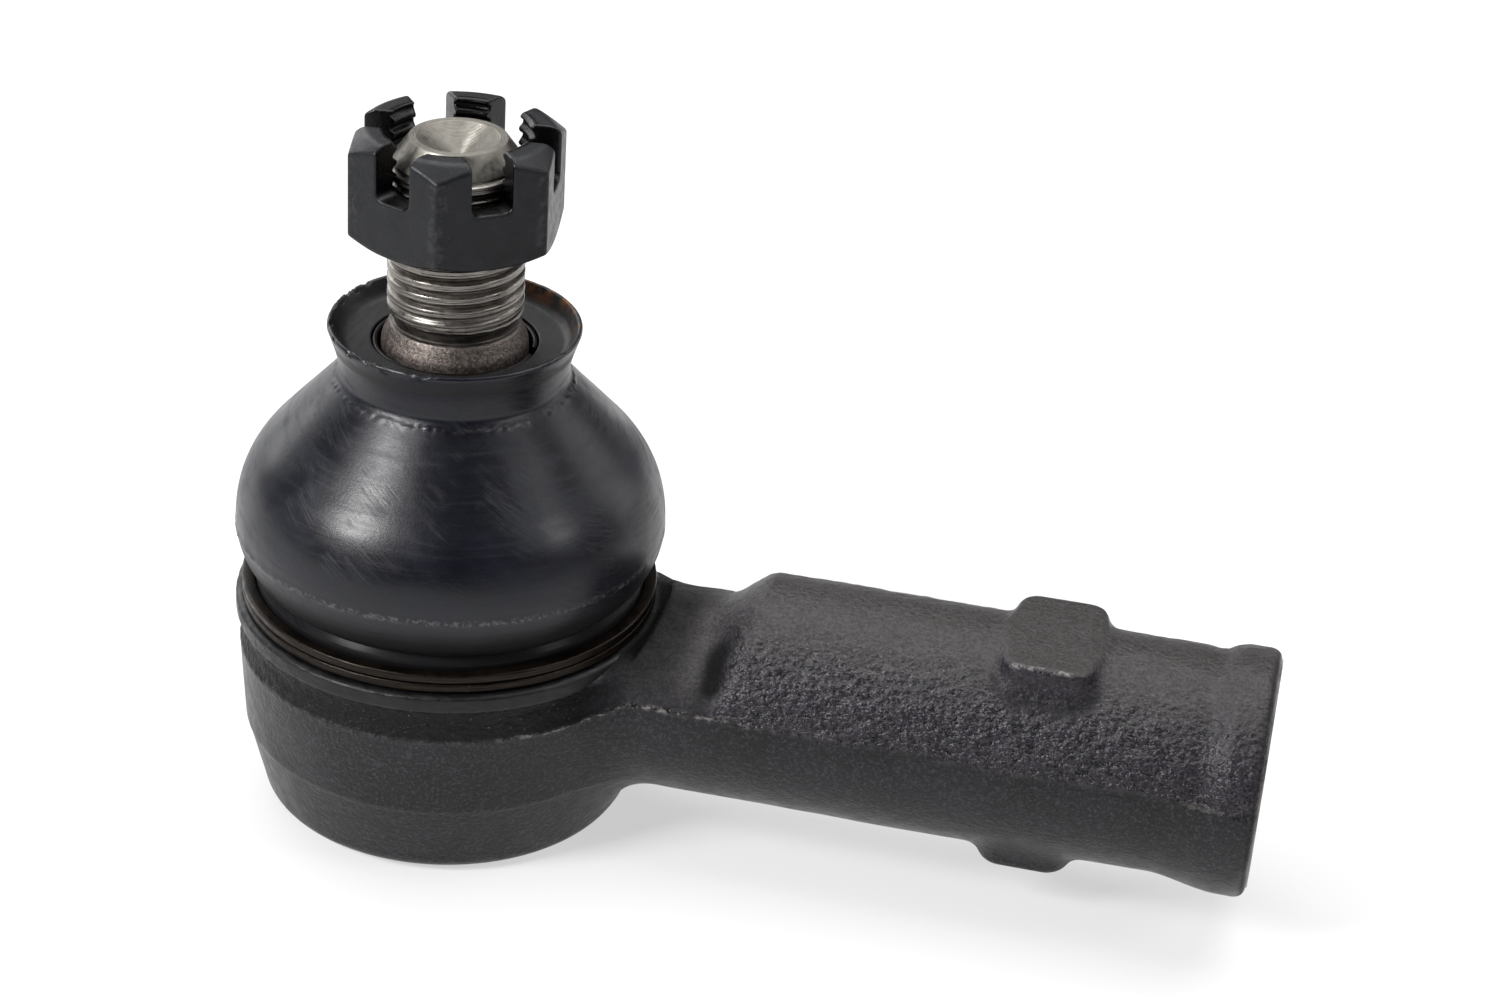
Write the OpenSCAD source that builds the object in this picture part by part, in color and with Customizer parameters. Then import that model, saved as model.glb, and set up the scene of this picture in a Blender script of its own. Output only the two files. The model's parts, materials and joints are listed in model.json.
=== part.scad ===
// Tie rod end: ball joint with a forged housing and an internally threaded shank.
// Origin at the centre of the ball. +Z runs up the stud, +X runs out along the shank.
// Lengths are in millimetres.

/* [Ball stud] */
// Radius of the ball
ball_r = 10; // [9.5:0.1:10.2]
// Radius of the stud thread (M12)
thread_r = 5.95; // [5.8:0.05:6.2]
// Radius of the taper at its small end, next to the thread
taper_small_r = 6.4; // [6.2:0.05:6.5]
// Height of the taper's small end above the ball centre
taper_top_z = 30.4; // [29.5:0.1:31]
// Height of the end of the stud
stud_top_z = 49; // [48.6:0.1:50.5]

/* [Castle nut] */
// Width across the nut's flats
nut_flats = 17; // [16.5:0.5:19]
// Height of the nut's lower face
nut_z = 40.2; // [39.8:0.1:41]
// Height of the nut
nut_h = 9.7; // [9.4:0.1:10.2]
// Width of a cotter slot
slot_w = 3.6; // [3:0.1:3.9]
// Depth of a cotter slot
slot_d = 4.6; // [3.8:0.1:4.9]

/* [Dust boot] */
// Largest radius of the boot
boot_r = 19.2; // [18.8:0.1:19.5]
// Height of the boot's widest place
boot_belly_z = 12.8; // [12.4:0.1:13.2]
// Radius of the flared rim
rim_r = 11.1; // [10.9:0.1:11.4]
// Height of the flared rim
rim_z = 31.7; // [31.4:0.1:32]

/* [Housing head] */
// Radius of the collar below the boot
collar_r = 19.3; // [18.9:0.1:19.6]
// Radius of the head at the parting line
head_r = 18.9; // [18.6:0.1:19.1]
// Radius of the head at its lower edge
head_low_r = 16.8; // [16.4:0.1:17.2]
// Height of the lowest point of the head
head_bottom_z = -15; // [-15.4:0.1:-14.6]

/* [Housing shank] */
// Distance from the ball centre to the shank's end face
shank_len = 74.8; // [72:0.1:80]
// Radius of the shank barrel
barrel_r = 10.4; // [10.2:0.1:10.8]
// Radius of the flange at the end of the shank
flange_r = 11; // [10.9:0.1:11.6]
// Radius of the female rod thread (M14)
socket_r = 7; // [6.2:0.1:7]
// Depth of the female rod thread
socket_depth = 42; // [30:1:46]
// Half width of the wrench pads
pad_half_w = 6.5; // [6:0.1:7]

/* [Hidden] */
$fn = 96;

// Clearance of a fixed inner piece in its chamber
chamber_gap = 0.08;
// Clearance of the ball in its two plastic seats
ball_gap = 0.05;

// Stud: heights from the ball centre
neck_r = 5.2;
neck_top_z = 15.6;
taper_low_z = 18.4;
taper_per_mm = 0.05;
taper_low_r = taper_small_r + (taper_top_z - taper_low_z) * taper_per_mm;
taper_end_inset = 0.7;
undercut_r = 5.3;
undercut_z = taper_top_z + 1.5;
undercut_h = 0.9;
stud_tip_r = 4.3;
stud_tip_h = 2.3;
centre_r = 3.5;
centre_d = 2.1;
cotter_r = 1.6;
cotter_z = 42.6;
ball_flat_z = -9.4;

// Nut
nut_gap = 0.07;
nut_angle = 7;
nut_corner_r = nut_flats / 2 / cos(30);
nut_round_r = nut_corner_r - 0.15;
nut_chamfer = 0.8;
nut_chamfer_w = 1.3;
slot_z = nut_z + nut_h - slot_d;

// Head of the housing
bottom_chamfer = 1;
draft_z = -7.4;
draft_r = (head_r + head_low_r) / 2 + 0.65;
shoulder_r = collar_r - 0.3;
shoulder_z = 1;
collar_z = 3.5;
collar_bevel = 0.3;
collar_top_z = 5.1;
groove_r = 15.4;
spigot_z = 7.5;
spigot_r = 16.1;
spigot_top_z = 8.8;
spigot_bevel = 0.5;
mouth_r = 8.8;
mouth_z = 5.6;
mouth_flare_r = 10.4;
chamber_r = 12.5;
chamber_cone_z = 3.3;
cap_r = 13.4;
cap_seat_z = -12.6;
cap_t = 1.5;
cap_gap = 0.02;
dish_r = 5;
dish_d = 0.5;
rolled_lip_r = 12.2;

// Shank of the housing
shank_root_x = 6;
neck_top_h = 7.3;
neck_top_half_w = 3.4;
neck_eaves_w = barrel_r + 1;
neck_eaves_z = 1.1;
step_x0 = 25.2;
step_x1 = 29.4;
clamp_room_r = 20.1;
pad_x0 = 51.2;
pad_x1 = 59.2;
pad_top_z = 10.6;
pad_low_z = -10.4;
step_round = 0.4;
flange_x0 = 70;
flange_groove_x = 69;
flange_slope = 1.2;
flange_bevel = 0.6;
flange_groove_r = barrel_r - 0.25;
socket_chamfer = 1;
drill_cone_h = 3.5;

// Boot
boot_wall = 1.7;
dome_arc_r = 11;
dome_arc_x = boot_r - dome_arc_r;
dome_arc_a = 42;
belly_low_r = 6.5;
belly_low_x = boot_r - belly_low_r;
bead_r = 17.5;
bead_inner_r = groove_r + 0.1;
bead_z0 = collar_top_z + 0.3;
bead_z1 = spigot_z - 0.15;
boot_throat_r = spigot_r + 0.2;
waist_r = 10;
waist_z = 27;
waist_round = 1;
rim_t = 0.5;
floor_r = 9.6;
floor_z = 30.1;
lip_bore_r = 6.9;
lip_z0 = 26.4;

// Rings
ring_z0 = 28.7;
ring_inner_r = 6.75;
ring_outer_r = 7.2;
ring_gap = 0.1;
ring_split_w = 1.4;
clamp_inner_r = bead_r + 0.1;
clamp_t = 1.1;
clamp_z0 = collar_top_z + 0.15;
clamp_turn_h = 0.8;
clamp_pitch = 0.9;
clamp_seam_d = 0.4;

// Seats and spring
seat_r = chamber_r - chamber_gap;
seat_split = 0.3;
seat_inset = 0.4;
lower_seat_z = -11;
lower_seat_r = 8;
lower_seat_cone_z = -7;
grease_hole_r = 2.5;
spring_t = 0.8;
spring_inner_r = 4.2;
spring_outer_r = 11.6;

// Points of an arc about [cx, cz], from angle a0 to a1
function arc(cx, cz, r, a0, a1, n) =
  [for (i = [0 : n]) let (a = a0 + (a1 - a0) * i / n) [cx + r * cos(a), cz + r * sin(a)]];

// A solid of revolution about Z from an outline of [radius, height] points
module turned(outline) {
  rotate_extrude()
    polygon(outline);
}

// The outside of the round head, up to the spigot that holds the boot's bead
module head_outside() {
  turned([
    [0, head_bottom_z],
    [head_low_r - bottom_chamfer, head_bottom_z],
    [head_low_r, head_bottom_z + bottom_chamfer],
    [draft_r, draft_z],
    [head_r, 0],
    [shoulder_r, shoulder_z],
    [shoulder_r, collar_z],
    [collar_r, collar_z + collar_bevel],
    [collar_r, collar_top_z - collar_bevel],
    [collar_r - collar_bevel, collar_top_z],
    [groove_r, collar_top_z],
    [groove_r, spigot_z],
    [spigot_r, spigot_z],
    [spigot_r, spigot_top_z - spigot_bevel],
    [spigot_r - spigot_bevel, spigot_top_z],
    [0, spigot_top_z],
  ]);
}

// The space for the ball, its seats, the spring and the end cap
module head_inside() {
  turned([
    [0, head_bottom_z - 1],
    [rolled_lip_r, head_bottom_z - 1],
    [rolled_lip_r, cap_seat_z - cap_t - chamber_gap],
    [cap_r + chamber_gap, cap_seat_z - cap_t - chamber_gap],
    [cap_r + chamber_gap, cap_seat_z],
    [chamber_r, cap_seat_z],
    [chamber_r, chamber_cone_z],
    [mouth_r, mouth_z],
    [mouth_flare_r, spigot_top_z],
    [mouth_flare_r, spigot_top_z + 1],
    [0, spigot_top_z + 1],
  ]);
}

// The barrel and the end flange, turned about X, with a cone down to the neck
module barrel_outside() {
  rotate([0, 90, 0])
    turned([
      [0, step_x0],
      [neck_top_h, step_x0],
      [barrel_r - step_round, step_x1 - 2 * step_round],
      [barrel_r, step_x1],
      [barrel_r, flange_groove_x - flange_slope],
      [flange_groove_r, flange_groove_x],
      [flange_groove_r, flange_x0],
      [flange_r, flange_x0 + flange_slope],
      [flange_r, shank_len - flange_bevel],
      [flange_r - flange_bevel, shank_len],
      [0, shank_len],
    ]);
}

// The neck: round as the barrel below the parting line, roof-shaped above it
module neck_outside() {
  intersection() {
    translate([shank_root_x, 0, 0])
      rotate([0, 90, 0])
        cylinder(r = barrel_r, h = step_x1 - shank_root_x);
    translate([shank_root_x, 0, 0])
      rotate([90, 0, 90])
        linear_extrude(height = step_x1 - shank_root_x)
          polygon([
            [-neck_eaves_w, -neck_eaves_w],
            [neck_eaves_w, -neck_eaves_w],
            [neck_eaves_w, neck_eaves_z],
            [neck_top_half_w, neck_top_h],
            [-neck_top_half_w, neck_top_h],
            [-neck_eaves_w, neck_eaves_z],
          ]);
  }
}

// The turned recess that leaves room for the boot's bead and clamp ring beside the neck
module clamp_room() {
  translate([0, 0, collar_top_z])
    cylinder(r = clamp_room_r, h = barrel_r);
}

// Two parallel wrench flats, above and below the barrel
module wrench_pads() {
  translate([pad_x0, -pad_half_w, pad_low_z])
    cube([pad_x1 - pad_x0, 2 * pad_half_w, pad_top_z - pad_low_z]);
}

// Female rod thread as a plain bore, with a chamfered mouth and a drill point
module rod_bore() {
  translate([shank_len - socket_depth, 0, 0])
    rotate([0, 90, 0])
      cylinder(r = socket_r, h = socket_depth + 1);
  translate([shank_len - socket_chamfer, 0, 0])
    rotate([0, 90, 0])
      cylinder(r1 = socket_r, r2 = socket_r + 1.5 * socket_chamfer, h = 1.5 * socket_chamfer);
  translate([shank_len - socket_depth - drill_cone_h, 0, 0])
    rotate([0, 90, 0])
      cylinder(r1 = 0, r2 = socket_r, h = drill_cone_h + 0.01);
}

module housing() {
  color("#2b292b")
    difference() {
      union() {
        difference() {
          neck_outside();
          clamp_room();
        }
        barrel_outside();
        head_outside();
        wrench_pads();
      }
      head_inside();
      rod_bore();
    }
}

module ball_stud() {
  color("#8c8883")
    difference() {
      union() {
        sphere(r = ball_r);
        turned([
          [0, 0],
          [neck_r, 0],
          [neck_r, neck_top_z],
          [taper_low_r, taper_low_z],
          [taper_small_r, taper_top_z],
          [taper_small_r - taper_end_inset, undercut_z],
          [undercut_r, undercut_z],
          [undercut_r, undercut_z + undercut_h],
          [thread_r, undercut_z + undercut_h],
          [thread_r, stud_top_z - stud_tip_h],
          [stud_tip_r, stud_top_z],
          [0, stud_top_z],
        ]);
      }
      translate([-ball_r, -ball_r, ball_flat_z - ball_r])
        cube([2 * ball_r, 2 * ball_r, ball_r]);
      translate([0, 0, stud_top_z - centre_d])
        cylinder(r1 = 0, r2 = centre_r * 1.5, h = centre_d * 1.5);
      translate([0, 0, cotter_z])
        rotate([0, 90, 0])
          cylinder(r = cotter_r, h = 4 * thread_r, center = true);
    }
}

module castle_nut() {
  color("#232324")
    rotate([0, 0, nut_angle])
      difference() {
        intersection() {
          translate([0, 0, nut_z])
            rotate([0, 0, 30])
              cylinder(r = nut_corner_r, h = nut_h, $fn = 6);
          turned([
            [0, nut_z],
            [nut_round_r - nut_chamfer_w, nut_z],
            [nut_round_r, nut_z + nut_chamfer],
            [nut_round_r, nut_z + nut_h - nut_chamfer],
            [nut_round_r - nut_chamfer_w, nut_z + nut_h],
            [0, nut_z + nut_h],
          ]);
        }
        translate([0, 0, nut_z - 1])
          cylinder(r = thread_r + nut_gap, h = nut_h + 2);
        for (a = [0, 60, 120])
          rotate([0, 0, a])
            translate([-nut_flats, -slot_w / 2, slot_z])
              cube([2 * nut_flats, slot_w, slot_d + 1]);
      }
}

// The boot's outline: bead, dome, waist and flared rim outside, then back down inside
module dust_boot() {
  color("#17181c")
    turned(concat(
      [
        [bead_inner_r, bead_z0],
        [bead_r, bead_z0],
        [bead_r, bead_z1],
      ],
      arc(belly_low_x, boot_belly_z, belly_low_r, -50, 0, 4),
      arc(dome_arc_x, boot_belly_z, dome_arc_r, 5, dome_arc_a, 8),
      [
        [waist_r + waist_round, waist_z - waist_round],
        [waist_r, waist_z],
        [rim_r, rim_z],
        [rim_r - rim_t, rim_z],
        [floor_r, floor_z],
        [ring_outer_r + ring_gap, floor_z],
        [ring_outer_r + ring_gap, ring_z0 - ring_gap],
        [lip_bore_r, ring_z0 - ring_gap],
        [lip_bore_r, lip_z0],
      ],
      arc(dome_arc_x, boot_belly_z, dome_arc_r - boot_wall, dome_arc_a, 0, 8),
      arc(belly_low_x, boot_belly_z, belly_low_r - boot_wall, -10, -45, 3),
      [
        [boot_throat_r, spigot_top_z],
        [boot_throat_r, bead_z1],
        [bead_inner_r, bead_z1],
      ]
    ));
}

// Split ring that grips the boot's mouth on the stud
module boot_neck_ring() {
  color("#1d1c1b")
    difference() {
      turned([
        [ring_inner_r, ring_z0],
        [ring_outer_r, ring_z0],
        [ring_outer_r, floor_z - ring_gap],
        [ring_inner_r, floor_z - ring_gap],
      ]);
      translate([0, -ring_split_w / 2, ring_z0 - 1])
        cube([2 * ring_outer_r, ring_split_w, 2 + floor_z - ring_z0]);
    }
}

// One flat wire wound twice around the boot's bead, with a groove where the two turns meet
module boot_clamp_ring() {
  color("#4a4038")
    turned([
      [clamp_inner_r, clamp_z0],
      [clamp_inner_r + clamp_t, clamp_z0],
      [clamp_inner_r + clamp_t, clamp_z0 + clamp_turn_h],
      [clamp_inner_r + clamp_t - clamp_seam_d, clamp_z0 + clamp_turn_h],
      [clamp_inner_r + clamp_t - clamp_seam_d, clamp_z0 + clamp_pitch],
      [clamp_inner_r + clamp_t, clamp_z0 + clamp_pitch],
      [clamp_inner_r + clamp_t, clamp_z0 + clamp_pitch + clamp_turn_h],
      [clamp_inner_r, clamp_z0 + clamp_pitch + clamp_turn_h],
    ]);
}

module upper_seat() {
  color("ivory")
    difference() {
      turned([
        [0, seat_split],
        [seat_r, seat_split],
        [seat_r, chamber_cone_z - chamber_gap],
        [mouth_r + seat_inset, mouth_z - seat_inset],
        [0, mouth_z - seat_inset],
      ]);
      sphere(r = ball_r + ball_gap);
      cylinder(r = mouth_r + seat_inset / 2, h = ball_r);
    }
}

module lower_seat() {
  color("ivory")
    difference() {
      turned([
        [0, lower_seat_z],
        [lower_seat_r, lower_seat_z],
        [seat_r, lower_seat_cone_z],
        [seat_r, -seat_split],
        [0, -seat_split],
      ]);
      sphere(r = ball_r + ball_gap);
      translate([0, 0, lower_seat_z - 1])
        cylinder(r = grease_hole_r, h = ball_r);
    }
}

// Conical spring washer between the cap and the lower seat
module preload_spring() {
  color("#6f7378")
    turned([
      [spring_inner_r, lower_seat_z - spring_t - ball_gap],
      [spring_outer_r, cap_seat_z + ball_gap],
      [spring_outer_r, cap_seat_z + spring_t],
      [spring_inner_r, lower_seat_z - ball_gap],
    ]);
}

module end_cap() {
  color("#4b4a4c")
    turned([
      [0, cap_seat_z - cap_t + dish_d],
      [dish_r, cap_seat_z - cap_t + dish_d],
      [dish_r + 2 * dish_d, cap_seat_z - cap_t],
      [cap_r, cap_seat_z - cap_t],
      [cap_r, cap_seat_z - cap_gap],
      [0, cap_seat_z - cap_gap],
    ]);
}

housing();
ball_stud();
castle_nut();
dust_boot();
boot_neck_ring();
boot_clamp_ring();
upper_seat();
lower_seat();
preload_spring();
end_cap();
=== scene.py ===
import json
import math

import bmesh
import bpy
import numpy as np
from mathutils import Matrix, Vector, noise


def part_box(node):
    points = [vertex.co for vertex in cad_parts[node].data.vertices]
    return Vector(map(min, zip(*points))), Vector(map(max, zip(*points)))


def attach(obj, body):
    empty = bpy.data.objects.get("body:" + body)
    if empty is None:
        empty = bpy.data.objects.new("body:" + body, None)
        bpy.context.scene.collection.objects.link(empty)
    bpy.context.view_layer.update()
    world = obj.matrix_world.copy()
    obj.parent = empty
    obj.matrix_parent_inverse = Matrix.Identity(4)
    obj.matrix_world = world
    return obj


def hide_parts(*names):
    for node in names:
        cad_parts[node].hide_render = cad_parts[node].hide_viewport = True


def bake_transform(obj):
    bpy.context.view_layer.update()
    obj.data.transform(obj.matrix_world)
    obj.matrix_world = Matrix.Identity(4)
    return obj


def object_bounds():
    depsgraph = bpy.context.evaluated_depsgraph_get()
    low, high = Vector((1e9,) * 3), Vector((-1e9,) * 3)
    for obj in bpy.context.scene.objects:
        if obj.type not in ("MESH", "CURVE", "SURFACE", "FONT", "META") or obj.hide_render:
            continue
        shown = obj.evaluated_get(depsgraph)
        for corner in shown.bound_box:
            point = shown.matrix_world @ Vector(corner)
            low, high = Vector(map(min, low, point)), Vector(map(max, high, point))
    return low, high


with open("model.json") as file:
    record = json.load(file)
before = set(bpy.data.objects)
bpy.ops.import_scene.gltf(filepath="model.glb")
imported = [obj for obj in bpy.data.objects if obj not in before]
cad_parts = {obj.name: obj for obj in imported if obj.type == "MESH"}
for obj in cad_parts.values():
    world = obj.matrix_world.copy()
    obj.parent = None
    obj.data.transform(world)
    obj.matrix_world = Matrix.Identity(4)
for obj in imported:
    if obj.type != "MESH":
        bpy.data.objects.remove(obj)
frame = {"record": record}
CAD_LO, CAD_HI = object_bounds()

# Sizes are in millimetres; meshes are scaled by MM when they are made. WAIST, TAPER_LOW and
# TAPER_TOP are a radius and a height, PAD_HALF is half a pad along X and Y, and a pair that ends
# in _X is a stretch of the shank.
MM = 0.001
MOUNTS = {mount["name"]: mount for mount in frame["record"]["mounts"]}


def box_mm(node):
    low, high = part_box(node)
    return np.array(low) / MM, np.array(high) / MM


def mount_mm(name):
    return np.array(MOUNTS[name]["pos_m"]) / MM


HOUSING_LO, HOUSING_HI = box_mm("housing")
STUD_LO, STUD_HI = box_mm("ball_stud")
NUT_LO, NUT_HI = box_mm("castle_nut")
BOOT_HI = box_mm("dust_boot")[1]
NECK_RING_LO, NECK_RING_HI = box_mm("boot_neck_ring")
CLAMP_LO, CLAMP_HI = box_mm("boot_clamp_ring")
UPPER_LO, UPPER_HI = box_mm("upper_seat")
LOWER_LO, LOWER_HI = box_mm("lower_seat")
SPRING_LO, SPRING_HI = box_mm("preload_spring")
CAP_LO, CAP_HI = box_mm("end_cap")

# Housing head
HEAD_BOTTOM = HOUSING_LO[2]
COLLAR_R = -HOUSING_LO[0]
COLLAR_Z = 3.5
COLLAR_TOP = 5.1
GROOVE_R = 15.4
SPIGOT_Z = 7.5
SPIGOT_R = 16.1
SPIGOT_TOP = 8.8
MOUTH_R = 8.8
MOUTH_Z = 5.6
MOUTH_FLARE_R = 10.4
CHAMBER_R = UPPER_HI[0] + 0.08
CHAMBER_CONE_Z = 3.3
CORE_R = 14.4
CAP_GAP = 0.08
LIP_R = 12.2
DRAFT_Z = -7.4

# Housing shank
END_X = HOUSING_HI[0]
BARREL_R = 10.4
FLANGE_R = HOUSING_HI[2]
PAD_TOP = mount_mm("wrench_flat_top")[2]
PAD_LOW = mount_mm("wrench_flat_bottom")[2]
PAD_X = mount_mm("wrench_flat_top")[0]
PAD_HALF = (4.0, 6.5)
RECESS_R = 20.1
NECK_TOP = 7.4
NECK_ROOT = 1.9
NECK_MIDDLE_X = 21.3
STEP_X = 24.8
STEP_LENGTH = 5.0
STEP_FOOT_X = 26.4
PART_SHANK = 2.2
PART_HEAD = 0.3
PART_RISE_X = (13, 21)
LOW_WAIST_X = (57, 60.5)
LOW_FLARE_X = (65.8, 72.3)
SOCKET_R = 7.0
SOCKET_MINOR = 6.25
SOCKET_X = END_X - 42
SLEEVE_R = 8.1
SOCKET_PITCH = 1.5

# Stud
BALL_R = STUD_HI[0]
UNDERCUT_R = 5.3
BALL_FLAT = STUD_LO[2]
STUD_TOP = STUD_HI[2]
NECK_R = 5.2
TAPER_LOW = (7.0, 18.4)
TAPER_TOP = (6.4, 30.4)
THREAD_R = 5.95
THREAD_ROOT = 5.52
THREAD_Z = 32.8
THREAD_PITCH = 1.25
TIP_R = 4.3
TIP_H = 2.3
CENTRE_R = 3.5
CENTRE_D = 2.1
COTTER_R = 1.6
COTTER_Z = 42.6

# Nut
NUT_FLATS = 17.0
NUT_ANGLE = math.radians(7)
NUT_BORE = 6.02
NUT_TOP_BEVEL_R = 8.05
NUT_LOW_BEVEL_R = 8.35
SLOT_W = 3.6
SLOT_Z = NUT_HI[2] - 4.6

# Boot
BOOT_R = BOOT_HI[0]
BELLY_Z = 12.8
SEAM_Z = 12.45
DOME_ARC_R = 11.0
DOME_ARC = 42
BELLY_LOW_R = 6.5
BOOT_WALL = 1.7
BEAD_R = 17.5
WAIST = (10.0, 27.0)
RIM_R = 11.1
RIM_Z = BOOT_HI[2]
BOOT_FLOOR = 30.1
LIP_BORE = 6.9
RING_OUTER = -NECK_RING_LO[0]


# ---- camera, light, floor
def add_object(name, data):
    item = bpy.data.objects.new(name, data)
    bpy.context.scene.collection.objects.link(item)
    return item


def fill(node, values):
    """Sets constants on a node's input sockets."""
    for socket, value in values.items():
        node.inputs[socket].default_value = value


def make_camera():
    """A long lens above and in front of the ball's centre, turned a little towards the shank."""
    azimuth, elevation, roll = (math.radians(a) for a in (10.85, 28.86, 4.0))
    distance, across, upward = 293.52, -27.55, -12.25
    level = Vector((math.cos(azimuth), math.sin(azimuth), 0))
    ahead = Vector((-math.sin(azimuth), math.cos(azimuth), 0))
    forward = math.cos(elevation) * ahead - math.sin(elevation) * Vector((0, 0, 1))
    top = math.sin(elevation) * ahead + math.cos(elevation) * Vector((0, 0, 1))
    right = math.cos(roll) * level + math.sin(roll) * top
    up = -math.sin(roll) * level + math.cos(roll) * top
    data = bpy.data.cameras.new("studio_camera")
    data.lens = 76.8
    data.sensor_width = 36
    data.clip_start = 0.01
    data.clip_end = 20
    camera = add_object("studio_camera", data)
    place = -(across * right + upward * up + distance * forward) * MM
    turn = Matrix((right, up, -forward)).transposed()
    camera.matrix_world = Matrix.Translation(place) @ turn.to_4x4()
    bpy.context.scene.camera = camera


def soft_light(name, azimuth, elevation, distance, size, power):
    """A rectangular soft box that faces the object from that side, in metres and watts."""
    a, e = math.radians(azimuth), math.radians(elevation)
    back = Vector((math.sin(a) * math.cos(e), -math.cos(a) * math.cos(e), math.sin(e)))
    data = bpy.data.lights.new(name, "AREA")
    data.shape = "RECTANGLE"
    data.size, data.size_y = size
    data.energy = power
    lamp = add_object(name, data)
    lamp.location = (CAD_LO + CAD_HI) / 2 + back * distance
    lamp.rotation_mode = "QUATERNION"
    lamp.rotation_quaternion = (-back).to_track_quat("-Z", "Y")


def make_studio():
    world = bpy.data.worlds.new("studio")
    bpy.context.scene.world = world
    world.use_nodes = True
    fill(world.node_tree.nodes["Background"], {"Color": (1, 1, 1, 1), "Strength": 0.07})
    bpy.context.scene.view_settings.view_transform = "Standard"
    soft_light("key_left", -46, 36, 0.6, (0.17, 0.2), 4.1)
    soft_light("key_right", 81, 33, 0.65, (0.16, 0.24), 0.8)
    soft_light("overhead", 180, 72, 0.8, (1.0, 0.8), 9.6)
    soft_light("back_left", -130, 20, 0.8, (0.55, 0.5), 2.3)
    soft_light("back_right", 130, 20, 0.8, (0.35, 0.5), 0.9)


def make_floor():
    half = 2.0
    mesh = bpy.data.meshes.new("floor")
    z = CAD_LO.z
    corners = [(-half, -half, z), (half, -half, z), (half, half, z), (-half, half, z)]
    mesh.from_pydata(corners, [], [(0, 1, 2, 3)])
    floor = add_object("floor", mesh)
    paint = bpy.data.materials.new("pale_floor")
    paint.use_nodes = True
    shader = paint.node_tree.nodes["Principled BSDF"]
    fill(shader, {"Base Color": (0.33, 0.33, 0.33, 1), "Roughness": 0.9, "Specular IOR Level": 0.1})
    fill(shader, {"Emission Color": (1, 1, 1, 1), "Emission Strength": 0.57})
    mesh.materials.append(paint)


# ---- mesh helpers
def smooth_step(low, high, value):
    t = np.clip((value - low) / (high - low), 0, 1)
    return t * t * (3 - 2 * t)


def smooth_min(a, b, k):
    h = np.clip(0.5 + 0.5 * (b - a) / k, 0, 1)
    return b + (a - b) * h - k * h * (1 - h)


def smooth_max(a, b, k):
    return -smooth_min(-a, -b, k)


def bell(value, width):
    """1 where the value is 0, falling smoothly to nothing a few widths away."""
    return np.exp(-((value / width) ** 2))


def new_piece(name, points, faces, material, sharp=None, weld=True):
    """A mesh object from points in millimetres. Edges past the sharp angle stay crisp."""
    mesh = bpy.data.meshes.new(name)
    mesh.from_pydata((np.asarray(points, float) * MM).tolist(), [], faces)
    shape = bmesh.new()
    shape.from_mesh(mesh)
    if weld:
        bmesh.ops.remove_doubles(shape, verts=shape.verts, dist=0.002 * MM)
        bmesh.ops.dissolve_degenerate(shape, edges=shape.edges, dist=0.0005 * MM)
    bmesh.ops.recalc_face_normals(shape, faces=shape.faces)
    shape.to_mesh(mesh)
    shape.free()
    mesh.shade_smooth()
    if sharp:
        mesh.set_sharp_from_angle(angle=math.radians(sharp))
    piece = add_object(name, mesh)
    mesh.materials.append(material)
    return piece


def filleted(points, closed=True, steps=4):
    """An outline of (radius, height, fillet) points with its corners rounded."""
    out = []
    for i, (r, z, fillet) in enumerate(points):
        at_end = not closed and i in (0, len(points) - 1)
        corner = np.array((r, z), float)
        if fillet == 0 or at_end:
            out.append(corner)
            continue
        before = np.array(points[i - 1][:2], float) - corner
        after = np.array(points[(i + 1) % len(points)][:2], float) - corner
        reach = min(fillet, 0.48 * np.linalg.norm(before), 0.48 * np.linalg.norm(after))
        start = corner + before / np.linalg.norm(before) * reach
        end = corner + after / np.linalg.norm(after) * reach
        for k in range(steps + 1):
            t = k / steps
            out.append((1 - t) ** 2 * start + 2 * t * (1 - t) * corner + t * t * end)
    return out


def arc(cx, cz, r, a0, a1, count):
    """Points of a circle about (cx, cz), from angle a0 to a1, without fillets."""
    angles = [math.radians(a0 + (a1 - a0) * i / count) for i in range(count + 1)]
    return [(cx + r * math.cos(a), cz + r * math.sin(a), 0) for a in angles]


def densified(path, step, closed=True):
    """The same outline with no stretch longer than step."""
    out = []
    ends = list(zip(path, path[1:] + path[:1])) if closed else list(zip(path, path[1:]))
    for a, b in ends:
        count = max(1, math.ceil(np.linalg.norm(b - a) / step))
        out += [a + (b - a) * i / count for i in range(count)]
    return out if closed else out + [path[-1]]


def quads_between(steps, count, across):
    """Faces between steps + 1 rows of count points, for that many points of each row."""
    i, j = np.meshgrid(np.arange(steps), np.arange(across), indexing="ij")
    a = (i * count + j).ravel()
    b = (i * count + (j + 1) % count).ravel()
    return np.stack((a, b, b + count, a + count), axis=1).tolist()


def turned(name, rows, material, sides=192, along="z", sharp=None):
    """A turned surface. Each row is a radius and a height: numbers, or arrays over the turn."""
    angle = np.arange(sides + 1) / sides * 2 * math.pi
    grid = []
    for r, h in rows:
        r, h = np.broadcast_to(r, angle.shape), np.broadcast_to(h, angle.shape)
        u, v = r * np.cos(angle), r * np.sin(angle)
        grid.append(np.stack((u, v, h) if along == "z" else (h, u, v), axis=1))
    faces = quads_between(len(rows) - 1, sides + 1, sides)
    return new_piece(name, np.concatenate(grid), faces, material, sharp)


def lathe(name, outline, material, closed=True, sides=192, along="z", step=None, sharp=None):
    """A solid of revolution from (radius, height, fillet) points."""
    path = filleted(outline, closed)
    if step:
        path = densified(path, step, closed)
    rows = path + path[:1] if closed else path
    return turned(name, rows, material, sides, along, sharp)


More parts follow.
